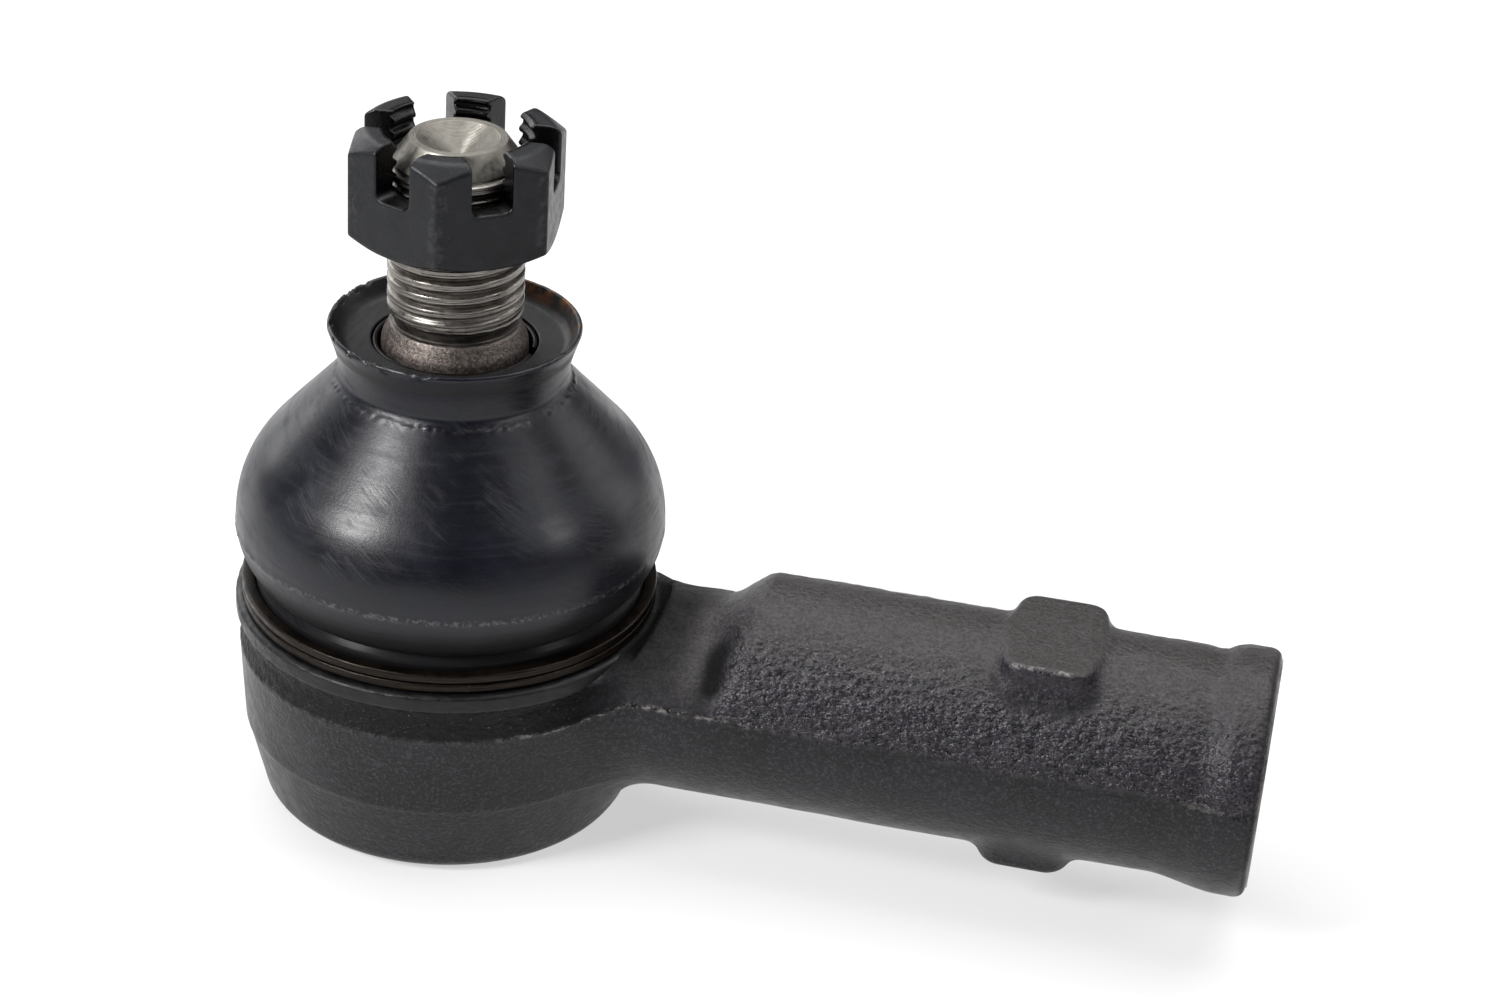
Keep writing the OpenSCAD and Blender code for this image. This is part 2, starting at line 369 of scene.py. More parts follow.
def swept(name, rings, material):
    """A bar from its cross-sections in order, with a flat face at each end."""
    steps, count = len(rings) - 1, len(rings[0])
    faces = quads_between(steps, count, count)
    faces += [list(range(count))[::-1], [steps * count + k for k in range(count)]]
    return new_piece(name, np.concatenate(rings), faces, material, sharp=50, weld=False)


def thread_rows(start, end, pitch, radius_at, sides, per_pitch=12):
    """Rows that climb with a helix from start to end. radius_at takes height and phase."""
    turn = np.arange(sides + 1) / sides
    way = 1 if end > start else -1
    length = abs(end - start)
    rows = []
    for k in range(-per_pitch, math.ceil(length / pitch * per_pitch) + 1):
        s = np.clip((k / per_pitch + turn) * pitch, 0, length)
        height = start + way * s
        rows.append((radius_at(height, (s / pitch - turn) % 1), height))
    return rows


def groove_depth(phase, pitch, crest, flank):
    """0 at a thread's crest and 1 in its root, with straight flanks."""
    from_crest = np.minimum(phase, 1 - phase) * pitch
    t = np.clip((from_crest - crest) / flank, 0, 1)
    return 0.35 * t + 0.65 * t * t * (3 - 2 * t)


def surface_nets(field, low, high, step):
    """Points and quads of field = 0, in millimetres. The field is negative inside."""
    low = np.array(low, float)
    axes = [np.arange(a, b + step, step, dtype=np.float32) for a, b in zip(low, high)]
    grid = np.meshgrid(*axes, indexing="ij", sparse=True)
    values = np.asarray(field(*grid), np.float32)
    inside = values < 0
    cells_shape = np.array(inside.shape) - 1
    corners = np.zeros(cells_shape, np.int8)
    nx, ny, nz = cells_shape
    for i, j, k in np.ndindex(2, 2, 2):
        corners += inside[i : i + nx, j : j + ny, k : k + nz]
    cells = np.argwhere((corners > 0) & (corners < 8))
    lookup = np.full(cells_shape, -1, np.int32)
    lookup[tuple(cells.T)] = np.arange(len(cells))
    total = np.zeros((len(cells), 3))
    count = np.zeros(len(cells))
    for axis in range(3):
        u, v = (axis + 1) % 3, (axis + 2) % 3
        for du, dv in np.ndindex(2, 2):
            start = cells.copy()
            start[:, u] += du
            start[:, v] += dv
            end = start.copy()
            end[:, axis] += 1
            a, b = values[tuple(start.T)], values[tuple(end.T)]
            crossing = (a < 0) != (b < 0)
            offset = (start - cells).astype(float)
            offset[:, axis] = np.where(crossing, a / np.where(crossing, a - b, 1), 0)
            total += offset * crossing[:, None]
            count += crossing
    points = low + (cells + total / count[:, None]) * step
    quads = []
    for axis in range(3):
        u, v = (axis + 1) % 3, (axis + 2) % 3
        near = [slice(1, -1)] * 3
        far = [slice(1, -1)] * 3
        near[axis], far[axis] = slice(0, -1), slice(1, None)
        changed = inside[tuple(near)] != inside[tuple(far)]
        at = np.argwhere(changed)
        at[:, u] += 1
        at[:, v] += 1
        ring = []
        for du, dv in ((-1, -1), (0, -1), (0, 0), (-1, 0)):
            cell = at.copy()
            cell[:, u] += du
            cell[:, v] += dv
            ring.append(lookup[tuple(cell.T)])
        quad = np.stack(ring, axis=1)
        flip = ~inside[tuple(at.T)]
        quad[flip] = quad[flip][:, ::-1]
        quads.append(quad)
    return on_surface(field, points, step), np.concatenate(quads)


def gradient(field, points, reach=0.02):
    out = np.empty_like(points)
    for axis in range(3):
        shift = np.zeros(3)
        shift[axis] = reach
        ahead, behind = points + shift, points - shift
        out[:, axis] = (field(*ahead.T) - field(*behind.T)) / (2 * reach)
    return out


def on_surface(field, points, step, rounds=2):
    """Moves each point onto the surface along the field's slope, by less than one step."""
    for _ in range(rounds):
        slope = gradient(field, points)
        steep = np.maximum((slope**2).sum(1), 0.05)
        move = -(field(*points.T) / steep)[:, None] * slope
        length = np.linalg.norm(move, axis=1, keepdims=True)
        points = points + move * np.minimum(1, 0.5 * step / np.maximum(length, 1e-9))
    return points


def noise_at(points, size, octaves=3, seed=0.0, stretch=(1, 1, 1)):
    """Smooth noise from -1 to 1 at each point, with features of that size."""
    scaled = points * np.array(stretch) / size + seed
    return np.array([noise.fractal(Vector(p), 0.8, 2.1, octaves) for p in scaled.tolist()])


def set_attributes(piece, **layers):
    """Gives each point of the piece one number per name, for its material."""
    for name, values in layers.items():
        layer = piece.data.attributes.new(name, "FLOAT", "POINT")
        layer.data.foreach_set("value", np.asarray(values, np.float32))


def points_of(piece):
    co = np.empty(len(piece.data.vertices) * 3)
    piece.data.vertices.foreach_get("co", co)
    return co.reshape(-1, 3) / MM


def normals_of(piece):
    out = np.empty(len(piece.data.vertices) * 3)
    piece.data.vertices.foreach_get("normal", out)
    return out.reshape(-1, 3)


def move_points(piece, points):
    piece.data.vertices.foreach_set("co", (points * MM).ravel())
    piece.data.update()


def place(piece, body, node, slot):
    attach(piece, body)
    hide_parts(node)


# ---- materials
def srgb(code):
    """Linear colour from a six-digit code."""
    parts = [int(code[i : i + 2], 16) / 255 for i in (1, 3, 5)]
    return tuple(p / 12.92 if p < 0.04045 else ((p + 0.055) / 1.055) ** 2.4 for p in parts) + (1,)


class Finish:
    """One procedural material. Sizes of patterns are in millimetres."""

    def __init__(self, name, metallic=0.0, specular=0.5, coat=0.0, coat_roughness=0.2):
        self.material = bpy.data.materials.new(name)
        self.material.use_nodes = True
        self.tree = self.material.node_tree
        self.shader = self.tree.nodes["Principled BSDF"]
        fill(self.shader, {"Metallic": metallic, "Specular IOR Level": specular})
        fill(self.shader, {"Coat Weight": coat, "Coat Roughness": coat_roughness})
        self.coords = self.tree.nodes.new("ShaderNodeTexCoord")
        self.colour = None
        self.bumped = None

    def put(self, node, socket, value):
        if isinstance(value, bpy.types.NodeSocket):
            self.tree.links.new(value, node.inputs[socket])
        else:
            node.inputs[socket].default_value = value

    def node(self, kind, inputs, **settings):
        """A new node of that kind, with its settings and its input sockets filled in."""
        node = self.tree.nodes.new("ShaderNode" + kind)
        for name, value in settings.items():
            setattr(node, name, value)
        for socket, value in inputs.items():
            self.put(node, socket, value)
        return node

    def scaled(self, size, stretch, tilt=0.0):
        """Object coordinates over size and stretch, tilted by that many degrees about Y."""
        inputs = {"Vector": self.coords.outputs["Object"], "Rotation": (0, math.radians(tilt), 0)}
        inputs["Scale"] = tuple(size * MM * s for s in stretch)
        return self.node("Mapping", inputs, vector_type="TEXTURE").outputs["Vector"]

    def noise(self, size, detail=3, stretch=(1, 1, 1), roughness=0.55, twist=0.0, tilt=0.0):
        inputs = {"Vector": self.scaled(size, stretch, tilt), "Scale": 1.0, "Detail": detail}
        inputs |= {"Roughness": roughness, "Distortion": twist}
        return self.node("TexNoise", inputs).outputs[0]

    def cells(self, size):
        inputs = {"Vector": self.scaled(size, (1, 1, 1)), "Scale": 1.0}
        return self.node("TexVoronoi", inputs).outputs["Distance"]

    def rings(self, size, twist):
        """Fine tool marks round the Z axis."""
        inputs = {"Vector": self.scaled(size, (1, 1, 1)), "Scale": 0.3}
        inputs |= {"Distortion": twist, "Detail": 2.0}
        marks = self.node("TexWave", inputs, wave_type="RINGS", rings_direction="Z")
        return marks.outputs[1]

    def attribute(self, name):
        return self.node("Attribute", {}, attribute_name=name).outputs["Fac"]

    def facing_up(self):
        """1 where the surface faces straight up in the piece's own frame, -1 where down."""
        return self.node("SeparateXYZ", {0: self.coords.outputs["Normal"]}).outputs["Z"]

    def remap(self, value, low, high, to_low=0.0, to_high=1.0):
        """A smooth step of the value from low to high, with results from to_low to to_high."""
        inputs = {"Value": value, "From Min": low, "From Max": high}
        inputs |= {"To Min": to_low, "To Max": to_high}
        return self.node("MapRange", inputs, interpolation_type="SMOOTHSTEP").outputs["Result"]

    def maths(self, operation, a, b):
        return self.node("Math", {0: a, 1: b}, operation=operation).outputs[0]

    def plus(self, a, b):
        return self.maths("ADD", a, b)

    def minus(self, a, b):
        return self.maths("SUBTRACT", a, b)

    def times(self, a, b):
        return self.maths("MULTIPLY", a, b)

    def mix(self, share, a, b):
        """Colour a with that share of colour b over it; a colour is a code or a socket."""
        inputs = {0: share}
        for socket, colour in ((6, a), (7, b)):
            inputs[socket] = srgb(colour) if isinstance(colour, str) else colour
        return self.node("Mix", inputs, data_type="RGBA").outputs[2]

    def over(self, share, colour):
        """Lays that share of a colour over what is there."""
        self.colour = self.mix(share, self.colour, colour)

    def bump(self, height, distance, strength=1.0):
        """Adds a layer of relief, distance millimetres deep."""
        inputs = {"Strength": strength, "Distance": distance * MM, "Height": height}
        if self.bumped is not None:
            inputs["Normal"] = self.bumped
        self.bumped = self.node("Bump", inputs).outputs["Normal"]

    def done(self, roughness):
        self.put(self.shader, "Base Color", self.colour)
        self.put(self.shader, "Roughness", roughness)
        if self.bumped is not None:
            self.put(self.shader, "Normal", self.bumped)
        return self.material


def forged_finish():
    """Dark phosphated forging: coarse skin above the parting line, finer and darker below it, that
    darkness partly painted shade. Painted glints dot the skin and painted shade fills its hollows.
    """
    f = Finish("forged_steel", metallic=0.1, specular=0.34)
    above = f.attribute("above")
    peel = f.attribute("peel")
    flash = f.attribute("flash")
    shoulder = f.attribute("shoulder")
    hollow = f.attribute("hollow")
    cloud = f.remap(f.noise(9, 4), 0.3, 0.7)
    grain = f.noise(0.3, 3, roughness=0.7)
    lumps = f.noise(0.46, 2, stretch=(1.3, 1, 0.9), roughness=0.5)
    f.colour = f.mix(cloud, "#100f12", "#19171b")
    # Lighter above the parting line: partly the coarser skin there, partly painted shade darkening
    # the lower half.
    f.over(f.times(above, 0.6), "#2d2930")
    f.over(f.remap(f.facing_up(), 0.55, 0.98, 0, 0.7), "#32302c")
    f.over(f.remap(grain, 0.52, 0.64, 0, 0.5), "#3f3b40")
    f.over(f.remap(grain, 0.5, 0.38, 0, 0.6), "#070608")
    specks = f.remap(f.noise(0.17, 3, roughness=0.8), 0.64, 0.74)
    f.over(f.times(specks, 0.7), "#767275")
    # Painted glints: small bright dots on the coarse skin stand in for highlights on its lumps.
    painted_glints = f.remap(f.noise(0.2, 3, stretch=(1.5, 1, 1), roughness=0.8), 0.58, 0.68)
    f.over(f.times(painted_glints, f.times(peel, 0.5)), "#8d8990")
    # Painted shade in the low spots of the lumps on the coarse skin.
    pit_shade = f.remap(lumps, 0.36, 0.48, 1, 0)
    f.over(f.times(pit_shade, f.times(peel, 0.8)), "#060507")
    f.over(f.times(shoulder, 0.9), "#070708")
    # Painted glints on the shoulder band.
    glints = f.remap(f.noise(0.3, 3, roughness=0.8), 0.64, 0.72)
    f.over(f.times(shoulder, f.times(glints, 0.7)), "#8a8788")
    # Painted shade: near-black in hollows and creases, at the foot of the pad and of the step, and
    # along the neck.
    f.over(f.remap(hollow, 0.05, 0.5, 0, 0.9), "#050506")
    broken = f.remap(f.noise(0.7, 4, roughness=0.7), 0.48, 0.62)
    f.over(f.times(flash, broken), "#85807e")
    rough = f.remap(f.noise(1.4, 4), 0.25, 0.75, 0.27, 0.42)
    rough = f.minus(rough, f.times(peel, 0.1))
    rough = f.plus(rough, f.remap(f.facing_up(), 0.45, 0.9, 0, 0.16))
    rough = f.plus(rough, f.remap(hollow, 0.05, 0.5, 0, 0.4))
    rough = f.plus(rough, f.times(shoulder, 0.3))
    # The painted shade in hollows and the shoulder band also reflects less, through a black base
    # made partly metallic.
    dull = f.plus(f.remap(hollow, 0.05, 0.5, 0.1, 0.6), f.times(shoulder, 0.3))
    f.put(f.shader, "Metallic", dull)
    f.bump(f.noise(2.6, 3), 0.12, 0.5)
    f.bump(lumps, 0.34, f.plus(0.2, f.times(peel, 0.8)))
    f.bump(grain, 0.08, 1.0)
    return f.done(rough)


def painted_finish():
    """Black paint on the turned collar, chipped and gritty at its edges."""
    f = Finish("black_collar_paint", specular=0.3)
    grit = f.noise(0.3, 4, roughness=0.75)
    f.colour = f.mix(f.remap(f.noise(3, 3), 0.35, 0.65), "#09090b", "#131315")
    chips = f.remap(f.noise(0.28, 3, roughness=0.8), 0.68, 0.76)
    f.over(f.times(chips, 0.6), "#7d7a78")
    f.bump(grit, 0.06, 0.7)
    f.bump(f.noise(1.2, 3, stretch=(1, 1, 0.3)), 0.1, 0.6)
    return f.done(f.remap(f.noise(0.9, 3), 0.3, 0.7, 0.28, 0.5))


def bore_finish():
    """Bright cut steel inside the housing, with tool marks."""
    f = Finish("machined_bore_steel", metallic=0.9)
    marks = f.noise(0.25, 2, stretch=(8, 8, 1))
    f.colour = f.mix(f.remap(f.noise(3, 3), 0.3, 0.7), "#6d6a68", "#8f8b87")
    f.over(f.remap(f.noise(0.7, 4), 0.58, 0.72), "#3a3431")
    f.bump(marks, 0.02, 0.8)
    return f.done(f.remap(marks, 0.3, 0.7, 0.28, 0.45))


def rubber_finish():
    """Black rubber: soft gloss, rubbed scratches, a speckled mould seam and painted shade low down.
    """
    f = Finish("boot_rubber", specular=0.38, coat=0.1, coat_roughness=0.24)
    seam = f.attribute("seam")
    low = f.attribute("low")
    inside = f.attribute("inside")
    level = f.noise(0.5, 4, stretch=(16, 16, 1), roughness=0.65, twist=0.5)
    slanted = f.noise(0.32, 3, stretch=(16, 16, 0.8), roughness=0.6, twist=0.7, tilt=32)
    rubbed = f.remap(f.noise(4.5, 3), 0.46, 0.6)
    smudge = f.noise(7, 4, roughness=0.6, twist=0.8)
    f.colour = f.mix(f.remap(smudge, 0.35, 0.7), "#04050e", "#080a17")
    f.over(f.times(f.remap(level, 0.6, 0.8), 0.25), "#1a1c22")
    f.over(f.times(rubbed, f.remap(slanted, 0.52, 0.66, 0, 0.3)), "#24262d")
    dust = f.remap(f.noise(0.2, 3, roughness=0.8), 0.71, 0.79)
    f.over(f.times(dust, 0.45), "#66625f")
    # Painted shade: the boot's lower part is darker and, further down, rougher and less reflective.
    f.over(f.times(low, 0.9), "#08070a")
    f.over(f.times(inside, 0.75), "#101010")
    rust = f.times(f.attribute("rust"), f.remap(f.noise(1.6, 4), 0.4, 0.65))
    f.over(rust, "#7a4a20")
    broken = f.remap(f.noise(0.45, 4, roughness=0.7), 0.46, 0.62)
    f.over(f.times(seam, broken), "#565150")
    rough = f.remap(smudge, 0.3, 0.75, 0.3, 0.42)
    rough = f.plus(rough, f.remap(level, 0.45, 0.75, 0, 0.1))
    rough = f.plus(rough, f.times(rubbed, f.remap(slanted, 0.4, 0.65, 0, 0.14)))
    rough = f.plus(rough, f.times(inside, 0.2))
    rough = f.plus(rough, f.times(low, 0.38))
    f.put(f.shader, "Metallic", f.times(low, 0.5))
    f.bump(f.noise(3.5, 3), 0.1, 0.3)
    f.bump(slanted, 0.03, f.times(rubbed, 0.6))
    f.bump(level, 0.02, 0.4)
    f.bump(f.noise(0.25, 3), 0.02, 0.5)
    return f.done(rough)


def thread_finish():
    """Bright steel: rolled thread with dark oily roots, blasted taper and turned end."""
    f = Finish("stud_steel", metallic=1.0)
    root = f.attribute("root")
    taper = f.attribute("taper")
    tip = f.attribute("tip")
    marks = f.noise(0.16, 3, stretch=(18, 18, 1), roughness=0.6)
    blast = f.noise(0.28, 4, roughness=0.75)
    f.colour = f.mix(f.remap(marks, 0.3, 0.7), "#6d6965", "#99948e")
    oil = f.remap(f.noise(1.8, 4, stretch=(2, 2, 0.5)), 0.35, 0.7, 0.55, 1)
    f.over(f.times(root, oil), "#2a2522")
    f.over(taper, f.mix(f.remap(blast, 0.35, 0.65), "#4f4946", "#857b76"))
    f.over(tip, f.mix(f.remap(f.noise(0.6, 3), 0.3, 0.7), "#76736d", "#817e77"))
    grime = f.times(f.remap(f.noise(1.1, 4), 0.6, 0.74), f.minus(0.55, f.times(tip, 0.4)))
    f.over(grime, "#3c342e")
    rough = f.remap(f.noise(0.5, 3), 0.3, 0.7, 0.26, 0.42)
    rough = f.plus(rough, f.times(taper, 0.2))
    rough = f.plus(rough, f.times(root, 0.15))
    rough = f.plus(rough, f.times(tip, 0.1))
    f.bump(marks, 0.03, f.minus(0.7, f.times(tip, 0.6)))
    f.bump(blast, 0.06, f.times(taper, 0.9))
    f.bump(f.rings(0.12, 0.3), 0.022, f.times(tip, f.remap(f.facing_up(), 0.65, 0.8)))
    return f.done(rough)


def nut_finish():
    """Black oxide on the nut: satin flats, glossier and darker in the slots."""
    f = Finish("nut_black_oxide", metallic=0.25, specular=0.3, coat=0.05, coat_roughness=0.25)
    cut = f.attribute("cut")
    edge = f.attribute("edge")
    fine = f.noise(0.22, 4, roughness=0.7)
    f.colour = f.mix(f.remap(f.noise(2.4, 4), 0.3, 0.7), "#0d0e11", "#15161a")
    f.over(f.remap(fine, 0.55, 0.7, 0, 0.4), "#2a2b30")
    f.over(f.times(cut, 0.95), "#030304")
    f.over(f.times(f.remap(f.noise(0.2, 2), 0.7, 0.8), 0.5), "#4a4b4e")
    worn = f.times(edge, f.remap(f.noise(0.8, 3), 0.45, 0.62))
    f.over(f.times(worn, 0.22), "#4a4a4e")
    rough = f.remap(f.noise(1.0, 3), 0.3, 0.7, 0.34, 0.48)
    rough = f.minus(rough, f.times(cut, 0.2))
    f.bump(f.noise(1.5, 3), 0.06, 0.4)
    f.bump(fine, 0.045, 0.8)
    return f.done(rough)


def wire_finish(name, dark, pale, rust):
    """Drawn steel with fine lines along it, browned patches and a few bright specks."""
    f = Finish(name, metallic=0.8)
    lines = f.noise(0.09, 3, stretch=(40, 40, 1), roughness=0.6)
    f.colour = f.mix(f.remap(lines, 0.35, 0.65), dark, pale)
    f.over(f.remap(f.noise(1.3, 4, stretch=(2, 2, 1)), 0.56, 0.7), rust)
    specks = f.remap(f.noise(0.25, 3, roughness=0.8), 0.7, 0.76)
    f.over(f.times(specks, 0.8), "#c9c4bc")
    f.bump(lines, 0.03, 0.8)
    return f.done(f.remap(f.noise(0.7, 3), 0.3, 0.7, 0.3, 0.48))


def plastic_finish():
    """Ivory acetal with a trace of grease."""
    f = Finish("seat_acetal", specular=0.5)
    f.colour = f.mix(f.remap(f.noise(2.5, 3), 0.3, 0.7), "#e6dfcb", "#d7ccb0")
    f.over(f.remap(f.noise(1.2, 4), 0.62, 0.74), "#8d7a4f")
    f.bump(f.noise(0.4, 3), 0.02, 0.5)
    return f.done(f.remap(f.noise(1.2, 3), 0.3, 0.7, 0.3, 0.45))


def pressed_finish():
    """Pressed cap with a grey zinc phosphate skin and turned marks."""
    f = Finish("cap_phosphate", metallic=0.5)
    crystals = f.cells(0.25)
    f.colour = f.mix(f.remap(f.noise(2.2, 4), 0.3, 0.7), "#47464a", "#5c5a5d")
    f.over(f.remap(f.noise(0.9, 4), 0.62, 0.72), "#2c2a2a")
    f.bump(crystals, 0.02, 0.7)
    f.bump(f.rings(0.5, 0.8), 0.01, 0.5)
    return f.done(f.remap(crystals, 0.1, 0.7, 0.38, 0.58))


# ---- housing
def parting_height(x, y):
    """Height of the forging's parting line: low round the head, higher on the shank."""
    rise = smooth_step(*PART_RISE_X, x)
    wave = 0.1 * np.sin(0.31 * x + 0.9) + 0.05 * np.sin(0.83 * x - 0.4 * y)
    return PART_HEAD + (PART_SHANK - PART_HEAD) * rise + wave * rise


def head_radius(z):
    """Radius of the forged head: drafted below the parting line, hollowed above it."""
    heights = (HEAD_BOTTOM, DRAFT_Z - 0.15, DRAFT_Z + 0.15, 0, 1.2, 2.4, COLLAR_Z + 0.2)
    radii = (16.55, 18.42, 18.55, 18.95, 18.82, 18.75, 19.05)
    return np.interp(z, heights, radii)


def step_foot(x, y):
    """1 along the hollow at the foot of the step, on both flanks of the neck, and 0 elsewhere."""
    down = np.clip(np.abs(y) / BARREL_R, 0, 1)
    flank = smooth_step(0.3, 0.6, down) * smooth_step(1.0, 0.8, down)
    return flank * bell(x - STEP_FOOT_X, 1.4)


def shank_upper(x, y, z):
    """Upper half of the shank: a low arched neck that steps up to the round barrel."""
    side = np.abs(y)
    from_middle = np.clip(x - NECK_MIDDLE_X, -4, 4)
    top = NECK_TOP + np.where(from_middle < 0, 0.05, 0.02) * from_middle**2
    tall = top - NECK_ROOT
    arch = (side / BARREL_R) ** 1.5 + (np.maximum(z - NECK_ROOT, 0) / tall) ** 1.5
    neck = (np.maximum(arch, 1e-6) ** (2 / 3) - 1) * tall + 0.3 * step_foot(x, y)
    waist = (BARREL_R, BARREL_R, BARREL_R - 0.06, BARREL_R - 0.16, BARREL_R - 0.08)
    flange = (10.75, FLANGE_R, FLANGE_R)
    radius = np.interp(x, (60, 67, 68.2, 69.2, 70, 70.8, 71.8, END_X), waist + flange)
    barrel = np.hypot(y, z) - radius
    down = np.clip(side / BARREL_R, 0, 1)
    start = STEP_X + 0.9 * smooth_step(0.5, 0.9, down)
    length = STEP_LENGTH - 1.6 * smooth_step(0.4, 0.9, down)
    return neck + (barrel - neck) * smooth_step(0, 1, (x - start) / length)


def shank_lower(x, y, z):
    """Lower half of the shank: round, with a flare towards the end flange."""
    waist = BARREL_R - 0.14 * smooth_step(*LOW_WAIST_X, x)
    return np.hypot(y, z) - (waist + (FLANGE_R + 0.15 - waist) * smooth_step(*LOW_FLARE_X, x))


def pad_distance(x, y, z):
    """Distance past the rounded outline of the wrench pads, seen from above."""
    corner = 1.8
    short = np.where(z > 0, 0, 0.25)
    dx = np.abs(x - PAD_X + short) - (PAD_HALF[0] - short - corner)
    dy = np.abs(y) - (PAD_HALF[1] - corner)
    outline = np.hypot(np.maximum(dx, 0), np.maximum(dy, 0)) - corner
    return np.where((dx < 0) & (dy < 0), np.maximum(dx, dy) - corner, outline)


def forging_field(x, y, z):
    """Signed distance to the forging, in millimetres."""
    q = np.hypot(x, y)
    head = (q - head_radius(z)) * 0.98
    head = smooth_max(head, HEAD_BOTTOM + 0.35 - z, 1.2)
    head = smooth_max(head, z - (COLLAR_Z + 0.1), 0.2)
    line = parting_height(x, y)
    low, up = shank_lower(x, y, z), shank_upper(x, y, z)
    shank = low + (up - low) * smooth_step(-0.14, 0.14, z - line)
    shank = np.maximum(shank, 6 - x)
    body = smooth_min(head, shank, 4.2 - 1.8 * smooth_step(1, 4, z))
    pad = smooth_max(pad_distance(x, y, z), np.where(z > 0, z - PAD_TOP, PAD_LOW - z), 0.8)
    body = smooth_min(body, pad, np.where(z > 0, 1.3, 1.8))
    body = np.where(np.abs(x - PAD_X) < 9, smooth_max(body, z - PAD_TOP, 0.2), body)
    body = smooth_max(body, x - (END_X - 0.12), 1.2)
    ragged = 0.07 + 0.03 * np.sin(1.9 * x + 0.7 * y) + 0.03 * np.sin(4.3 * x - 2.9 * y)
    body = body - ragged * bell(z - line, 0.24) * (x < END_X - 5)
    recess = np.maximum(q - RECESS_R, COLLAR_TOP - z)
    body = smooth_max(body, -recess, 0.8)
    body = np.maximum(body, CORE_R - 0.15 - q)
    bore = np.maximum(np.hypot(y, z) - (SLEEVE_R - 0.1), SOCKET_X - 4 - x)
    return np.maximum(body, -bore)


def make_forging(material):
    """The forging's skin, roughened, with the masks that its finish reads."""
    step = 0.24
    points, quads = surface_nets(forging_field, HOUSING_LO - 0.6, HOUSING_HI + 0.6, step)
    piece = new_piece("housing_forging", points, quads.tolist(), material)
    points, normals = points_of(piece), normals_of(piece)
    x, y, z = points.T
    line = parting_height(x, y)
    q = np.hypot(x, y)
    above = smooth_step(-0.05, 0.25, z - line)
    outer = np.where(x < 21, q > 17, (np.hypot(y, z) > 8.4) | (x < SOCKET_X - 5))
    barrel = smooth_step(25, 30, x)
    side_band = smooth_step(9.9, 7.2, z) * (0.45 + 0.55 * smooth_step(74, 60, x))
    on_pad = (np.abs(x - PAD_X) < PAD_HALF[0] + 0.4) & (np.abs(y) < PAD_HALF[1])
    on_pad = on_pad & (z > PAD_TOP - 0.25)
    shoulder = above * smooth_step(19.5, 15, x) * (q > 17) * (z < COLLAR_Z + 0.3)
    peel = above * np.maximum(barrel * (0.3 + 0.7 * side_band), 0.8 * shoulder)
    beside_pad = pad_distance(x, y, z)
    below_pad = smooth_step(PAD_TOP - 1.0, PAD_TOP - 2.0, z)
    pad_foot = bell(beside_pad - 0.8, 0.7) * below_pad
    peel = np.maximum(peel, above * 0.22) * outer * np.where(on_pad, 0.12, 1 - 0.6 * pad_foot)
    flash = bell(z - line, 0.2) * outer
    lumps = noise_at(points, 1.05, 3, seed=3.1, stretch=(0.7, 1, 1.3))
    waves = noise_at(points, 7.0, 2, seed=11.7)
    height = (0.12 * lumps * peel + 0.05 * waves) * outer
    height += 0.05 * flash * noise_at(points, 0.6, 2, seed=5.3)
    # hollow carries painted shade: how far the surface curves in, plus dark bands below the pad, at
    # the step's foot and on the neck before the step.
    probe = 1.6
    hollow = 1 - forging_field(*(points + normals * probe).T) / probe
    hollow = np.where((beside_pad < 3) & (z > 0), 0.27 * pad_foot, hollow)
    hollow = np.maximum(hollow, 0.5 * step_foot(x, y) * above)
    hollow = np.maximum(hollow, 0.3 * smooth_step(27, 22, x) * above * (x > 17))
    on_pad_edge = np.abs(np.abs(y) - PAD_HALF[1]) < 0.5
    move_points(piece, points + normals * height[:, None])
    bright = 0.12 + 0.88 * smooth_step(8, 14, x) * smooth_step(34, 22, x)
    set_attributes(
        piece,
        above=above * outer,
        peel=peel,
        flash=np.maximum(flash * bright, 0.7 * on_pad * on_pad_edge),
        shoulder=shoulder,
        hollow=np.clip(hollow, 0, 1) * outer,
    )
    place(piece, "housing_body", "housing", "housing_steel")


